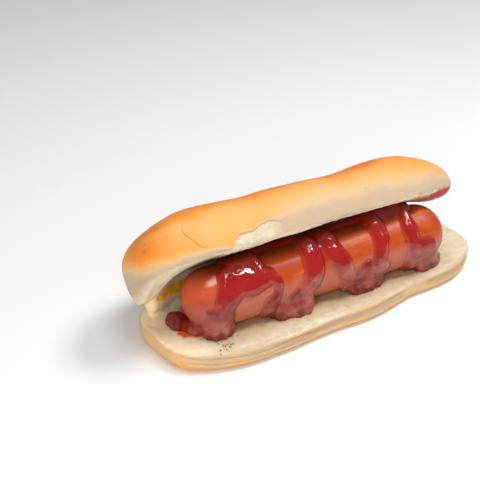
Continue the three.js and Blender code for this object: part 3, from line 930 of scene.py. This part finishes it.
def paint_sauce(mesh):
    points = read_points(mesh)
    along, distance, _ = along_sausage(points)
    turned = sausage_angle(points)
    low = fade(points[:, 2], 9.5, 14)
    blob = spots(points, DARK_BLOB)
    # Painted shade: the sauce is painted darker just under the lip of the top, which shades it
    under_top = fade(turned + 6 * ripple(points, 6, 17), 2, 32)
    # Darker in patches low down, towards the crumb; the pools and the left blob are darker too, partly where
    # the sauce lies thick and partly as painted shade
    darker_low_down = low * smoothstep(ripple(points, 3.2, 15) + 0.08 * (11 - points[:, 2]), -0.25, 0.3)
    deep = 0.9 * darker_low_down + 0.9 * blob + spots(points, POOLS) + 0.95 * under_top
    beside_sausage = np.abs(along) < SAUSAGE_STRAIGHT / 2 + SAUSAGE_RADIUS
    thickness = np.where(beside_sausage, distance - SAUSAGE_RADIUS, 9)
    paint(mesh, {
        "deep": np.clip(deep, 0, 1),
        "thin": fade(thickness, 0.15, 1.25),
        # Painted reflection: the sauce's underside is painted a streaked mauve, as the pale crumb would be
        # reflected in it
        "underside_reflection": smoothstep(turned + 9 * ripple(points, 6, 18), 62, 84) * (1 - blob),
    })


def make_ketchup():
    bm = sauce_shell()
    for middle, half_sizes in FEET.values():
        join_into(bm, foot(middle, half_sizes))
    ketchup = placed_object(bm, "ketchup_strokes")
    remesh(ketchup, SAUCE_VOXEL)
    soften(ketchup.data, 4)
    soften(ketchup.data, 8, below=16)
    carve(ketchup, shrunk_sausage(SHELL_DEPTH))
    mesh = ketchup.data
    points = read_points(mesh)
    write_points(mesh, push_out(mesh, points, sauce_lumps(points)))
    trim_below(mesh, TRIM_HEIGHT)
    paint_sauce(mesh)
    shade_smooth(mesh)
    sharpen(mesh, SHARP_EDGE)
    return ketchup


# Crumbs


def make_crumbs():
    """Small crumbs that have fallen on the cut face of the base, in front of the frankfurter."""
    draw = random.Random(CRUMBS["seed"])
    bm = bmesh.new()
    for _ in range(CRUMBS["count"]):
        size = draw.uniform(*CRUMBS["radius"]) * MM
        place = Vector((draw.gauss(*CRUMBS["x"]), draw.gauss(*CRUMBS["y"]), CRUMBS["z"]))
        turn = Euler([draw.uniform(0, 6.28) for _ in range(3)]).to_matrix().to_4x4()
        shape = Matrix.Diagonal((size, size * draw.uniform(0.5, 0.9), size * draw.uniform(0.4, 0.8), 1))
        move = Matrix.Translation((place + Vector(MIDDLE)) * MM)
        bmesh.ops.create_icosphere(bm, subdivisions=2, radius=1, matrix=move @ turn @ shape)
    crumbs = object_from(bm, "loose_crumbs")
    shade_smooth(crumbs.data)
    return crumbs


# Materials


def linear(red, green, blue):
    """A colour as seen, 0 to 255, in the light's own units."""
    shares = [c / 255 for c in (red, green, blue)]
    return tuple(((c + 0.055) / 1.055) ** 2.4 if c > 0.04 else c / 12.92 for c in shares) + (1,)


class Look:
    """A material and short ways to add nodes to it."""

    def __init__(self, name):
        self.material = bpy.data.materials.new(name)
        self.material.use_nodes = True
        self.nodes = self.material.node_tree.nodes
        self.shader = self.nodes["Principled BSDF"]

    def add(self, kind, **settings):
        node = self.nodes.new(kind)
        for key, value in settings.items():
            setattr(node, key, value)
        return node

    def join(self, source, target):
        self.material.node_tree.links.new(source, target)

    def feed(self, pairs):
        """Each socket takes a plain value, or the output of another node."""
        for socket, value in pairs:
            if isinstance(value, (int, float, tuple)):
                socket.default_value = value
            else:
                self.join(value, socket)

    def set(self, **values):
        """Plain values on the shader's own sockets."""
        for name, value in values.items():
            self.shader.inputs[name.replace("_", " ")].default_value = value

    def colour(self, tone):
        self.join(tone, self.shader.inputs["Base Color"])

    def attribute(self, name):
        return self.add("ShaderNodeAttribute", attribute_name=name).outputs["Fac"]

    def noise(self, size, detail=3, roughness=0.55, place=None):
        """Noise whose lumps are about that many millimetres across."""
        node = self.add("ShaderNodeTexNoise")
        node.inputs["Scale"].default_value = 1 / (size * MM)
        node.inputs["Detail"].default_value = detail
        node.inputs["Roughness"].default_value = roughness
        self.join(place or self.add("ShaderNodeTexCoord").outputs["Object"], node.inputs["Vector"])
        return node.outputs["Fac"]

    def streaks(self, size, stretch, detail=3):
        """Noise drawn out along the frankfurter."""
        turn = self.add("ShaderNodeMapping")
        turn.inputs["Rotation"].default_value = (0, 0, -SAUSAGE_YAW)
        turn.inputs["Scale"].default_value = (1 / stretch, 1, 1)
        self.join(self.add("ShaderNodeTexCoord").outputs["Object"], turn.inputs["Vector"])
        return self.noise(size, detail, 0.5, turn.outputs["Vector"])

    def ramp(self, source, stops):
        """Colours as seen, spread over the values of the source."""
        node = self.add("ShaderNodeValToRGB")
        ramp = node.color_ramp
        while len(ramp.elements) < len(stops):
            ramp.elements.new(0.5)
        for element, (at, colour) in zip(ramp.elements, stops):
            element.position = at
            element.color = linear(*colour)
        self.join(source, node.inputs["Fac"])
        return node.outputs["Color"]

    def maths(self, operation, first, second):
        node = self.add("ShaderNodeMath", operation=operation)
        self.feed(zip(node.inputs, (first, second)))
        return node.outputs[0]

    def mix(self, share, first, second):
        """A colour between two others."""
        node = self.add("ShaderNodeMix", data_type="RGBA")
        self.feed(((node.inputs[0], share), (node.inputs[6], first), (node.inputs[7], second)))
        return node.outputs[2]

    def mix_value(self, share, first, second):
        node = self.add("ShaderNodeMix", data_type="FLOAT")
        self.feed(((node.inputs[0], share), (node.inputs[2], first), (node.inputs[3], second)))
        return node.outputs[0]

    def spread(self, source, low, high, to_low=0.0, to_high=1.0):
        node = self.add("ShaderNodeMapRange")
        self.feed(zip(node.inputs, (source, low, high, to_low, to_high)))
        return node.outputs[0]

    def tinted(self, tone, tints):
        """The tone with colours laid over it, each where its painted value says and with its strength."""
        for name, strength, colour in tints:
            share = self.maths("MULTIPLY", self.attribute(name), strength)
            tone = self.mix(share, tone, linear(*colour))
        return tone

    def bump(self, height, distance, strength):
        node = self.add("ShaderNodeBump")
        node.inputs["Strength"].default_value = strength
        node.inputs["Distance"].default_value = distance * MM
        self.join(height, node.inputs["Height"])
        self.join(node.outputs["Normal"], self.shader.inputs["Normal"])


def baked_roll():
    look = Look("baked_roll")
    bake = look.maths("ADD", look.attribute("bake"), look.spread(look.noise(9, 5), 0.3, 0.7, -0.06, 0.06))
    crust = look.ramp(bake, (
        (0.0, (202, 176, 148)),
        (0.16, (220, 186, 144)),
        (0.42, (240, 178, 105)),
        (0.62, (246, 162, 77)),
        (0.8, (242, 139, 52)),
        (1.0, (218, 112, 36)),
    ))
    crumb = look.ramp(look.noise(3.2, 5, 0.6), ((0.3, (214, 197, 165)), (0.65, (232, 221, 195))))
    speck = look.spread(look.noise(1.1, 2), 0.66, 0.74)
    crumb = look.mix(look.maths("MULTIPLY", speck, 0.4), crumb, linear(186, 146, 104))
    crumb = look.tinted(crumb, (
        # painted light: lighter, warmer crumb in the shade at the left end
        ("lightened_left_end", 0.8, (255, 226, 184)),
        # painted shadow of the frankfurter on the crumb, partly fat drawn in
        ("grease_and_shadow", 0.8, (174, 132, 88)),
        # painted shade under the top, partly juice drawn up
        ("juice_and_shade", 0.8, (140, 58, 34)),
    ))
    bread = look.tinted(look.mix(look.attribute("crumb"), crust, crumb), (
        ("side_shade", 0.5, (180, 150, 120)),
        ("crack", 0.5, (200, 120, 56)),
        # a saturated yellow strip painted deep in the fold at the left
        ("yellow_fold_strip", 0.98, (255, 182, 10)),
        ("stain", 0.95, (226, 78, 10)),
        ("smear", 1.0, (180, 28, 24)),
    ))
    look.colour(bread)
    dry = look.spread(look.attribute("crumb"), 0, 1, 0.6, 0.85)
    look.join(look.mix_value(look.attribute("smear"), dry, 0.4), look.shader.inputs["Roughness"])
    look.set(Specular_IOR_Level=0.18)
    look.set(Subsurface_Weight=0.25, Subsurface_Radius=(1.0, 0.55, 0.3), Subsurface_Scale=0.004)
    look.bump(look.maths("ADD", look.noise(0.7), look.noise(2.2)), 0.12, 0.6)
    return look.material


def smoked_casing():
    look = Look("smoked_casing")
    tone = look.ramp(look.noise(7, 4), ((0.3, (174, 64, 17)), (0.7, (192, 78, 22))))
    light_lines = look.spread(look.streaks(2.2, 9, 4), 0.56, 0.7)
    tone = look.mix(look.maths("MULTIPLY", light_lines, 0.25), tone, linear(226, 132, 86))
    tone = look.tinted(tone, (
        ("cap", 0.6, (206, 90, 62)),
        # pinkish painted reflection of the crumb on the underside
        ("underside", 0.75, (190, 112, 92)),
        ("film", 0.55, (158, 66, 56)),
        # dark brown painted shade under the lip of the top
        ("shaded_under_top", 0.8, (84, 24, 12)),
        # pale pink painted highlight on the left cap
        ("painted_cap_highlight", 0.85, (246, 196, 176)),
    ))
    look.colour(tone)
    look.set(Roughness=0.45, Specular_IOR_Level=0.18, Coat_Weight=0.04, Coat_Roughness=0.16)
    look.bump(look.maths("ADD", look.noise(1.2, 2), look.streaks(1.6, 6)), 0.1, 0.5)
    return look.material


def wet_ketchup():
    look = Look("wet_ketchup")
    tone = look.ramp(look.noise(6), ((0.3, (150, 14, 20)), (0.7, (166, 30, 20))))
    # Painted reflection of the pale crumb on the sauce's underside, in mauve streaks
    reflection_streaks = look.ramp(look.noise(7, 4), ((0.36, (98, 26, 20)), (0.52, (150, 68, 56)), (0.7, (180, 110, 94))))
    tone = look.mix(look.maths("MULTIPLY", look.attribute("underside_reflection"), 0.72), tone, reflection_streaks)
    through_edge = look.mix(look.attribute("underside_reflection"), linear(192, 66, 40), linear(178, 100, 82))
    tone = look.mix(look.maths("MULTIPLY", look.attribute("thin"), 0.5), tone, through_edge)
    # Dark red: painted shade under the lip of the top, with darker patches low down and in the pools, partly
    # the sauce lying thick
    tone = look.tinted(tone, (("deep", 0.85, (108, 24, 13)),))
    look.colour(tone)
    look.join(look.mix_value(look.attribute("deep"), 0.06, 0.25), look.shader.inputs["Roughness"])
    look.set(Specular_IOR_Level=0.6)
    look.bump(look.noise(4.5), 0.5, 0.6)
    return look.material


def toasted_crumb():
    look = Look("toasted_crumb")
    tone = look.ramp(look.noise(0.8), ((0.3, (120, 92, 66)), (0.7, (186, 152, 116))))
    look.colour(tone)
    look.set(Roughness=0.85)
    return look.material


# Camera, light and floor, in metres

CAMERA = {"place": (-0.24396, -0.29854, 0.24309), "aim": (-0.01537, 0.02618, 0.018)}
LENS = 80.84  # millimetres, as the sensor's width
SENSOR_WIDTH = 36

# Each light's place, aim, size and power: the fills give no highlights, and the glint gives nothing else
LIGHTS = {
    "softbox_right": ((0.3, -0.1, 0.6), (0, 0, 0.02), (0.26, 0.19), 2.2),
    "softbox_above": ((0.0, -0.13, 0.74), (0, 0, 0.02), (0.3, 0.2), 1.4),
    "glint": ((0.29, -0.1, 0.6), (0, 0, 0.02), (0.2, 0.17), 3.0),
    "fill_front": ((0.0, -0.7, 0.3), (0, 0, 0.02), (0.9, 0.5), 0.5),
    "fill_high": ((-0.42, -0.5, 0.42), (-0.03, 0, 0.02), (0.35, 0.35), 1.0),
    "fill_left": ((-0.62, -0.36, 0.27), (-0.03, 0, 0.02), (0.5, 0.3), 1.65),
}
SKY = {"Color": (0.96, 0.98, 1, 1), "Strength": 0.26}  # even light from all round
FLOOR = {"size": 3, "tone": 0.95}


def turn_towards(obj, place, aim):
    obj.location = place
    obj.rotation_euler = (Vector(aim) - obj.location).to_track_quat("-Z", "Y").to_euler()


def add_camera():
    camera = bpy.data.objects.new("camera", bpy.data.cameras.new("camera"))
    bpy.context.collection.objects.link(camera)
    camera.data.lens = LENS
    camera.data.sensor_width = SENSOR_WIDTH
    turn_towards(camera, CAMERA["place"], CAMERA["aim"])
    bpy.context.scene.camera = camera


def add_light(name, place, aim, size, power):
    light = bpy.data.objects.new(name, bpy.data.lights.new(name, "AREA"))
    bpy.context.collection.objects.link(light)
    light.data.shape = "RECTANGLE"
    light.data.size, light.data.size_y = size
    light.data.energy = power
    light.visible_glossy = not name.startswith("fill")
    light.visible_diffuse = name != "glint"
    turn_towards(light, place, aim)


def set_world():
    scene = bpy.context.scene
    scene.view_settings.view_transform = "Standard"
    scene.view_settings.look = "None"
    world = bpy.data.worlds.new("studio")
    world.use_nodes = True
    for socket, value in SKY.items():
        world.node_tree.nodes["Background"].inputs[socket].default_value = value
    scene.world = world


def add_floor():
    bm = bmesh.new()
    bmesh.ops.create_grid(bm, x_segments=1, y_segments=1, size=FLOOR["size"])
    floor = object_from(bm, "floor")
    look = Look("pale_floor")
    look.set(Base_Color=(*[FLOOR["tone"]] * 3, 1), Roughness=0.8)
    floor.data.materials.append(look.material)


def dress(obj, material, node=None):
    """Gives a piece its material, hangs it on the root body, and hides the solid it stands for, if one is
    named.
    """
    obj.data.materials.clear()
    obj.data.materials.append(material)
    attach(obj, "root")
    if node:
        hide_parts(node)


add_camera()
set_world()
for light_name, light_values in LIGHTS.items():
    add_light(light_name, *light_values)
add_floor()
dress(make_roll(), baked_roll(), "bun")
dress(make_sausage(), smoked_casing(), "sausage")
dress(make_ketchup(), wet_ketchup(), "ketchup")
dress(make_crumbs(), toasted_crumb())
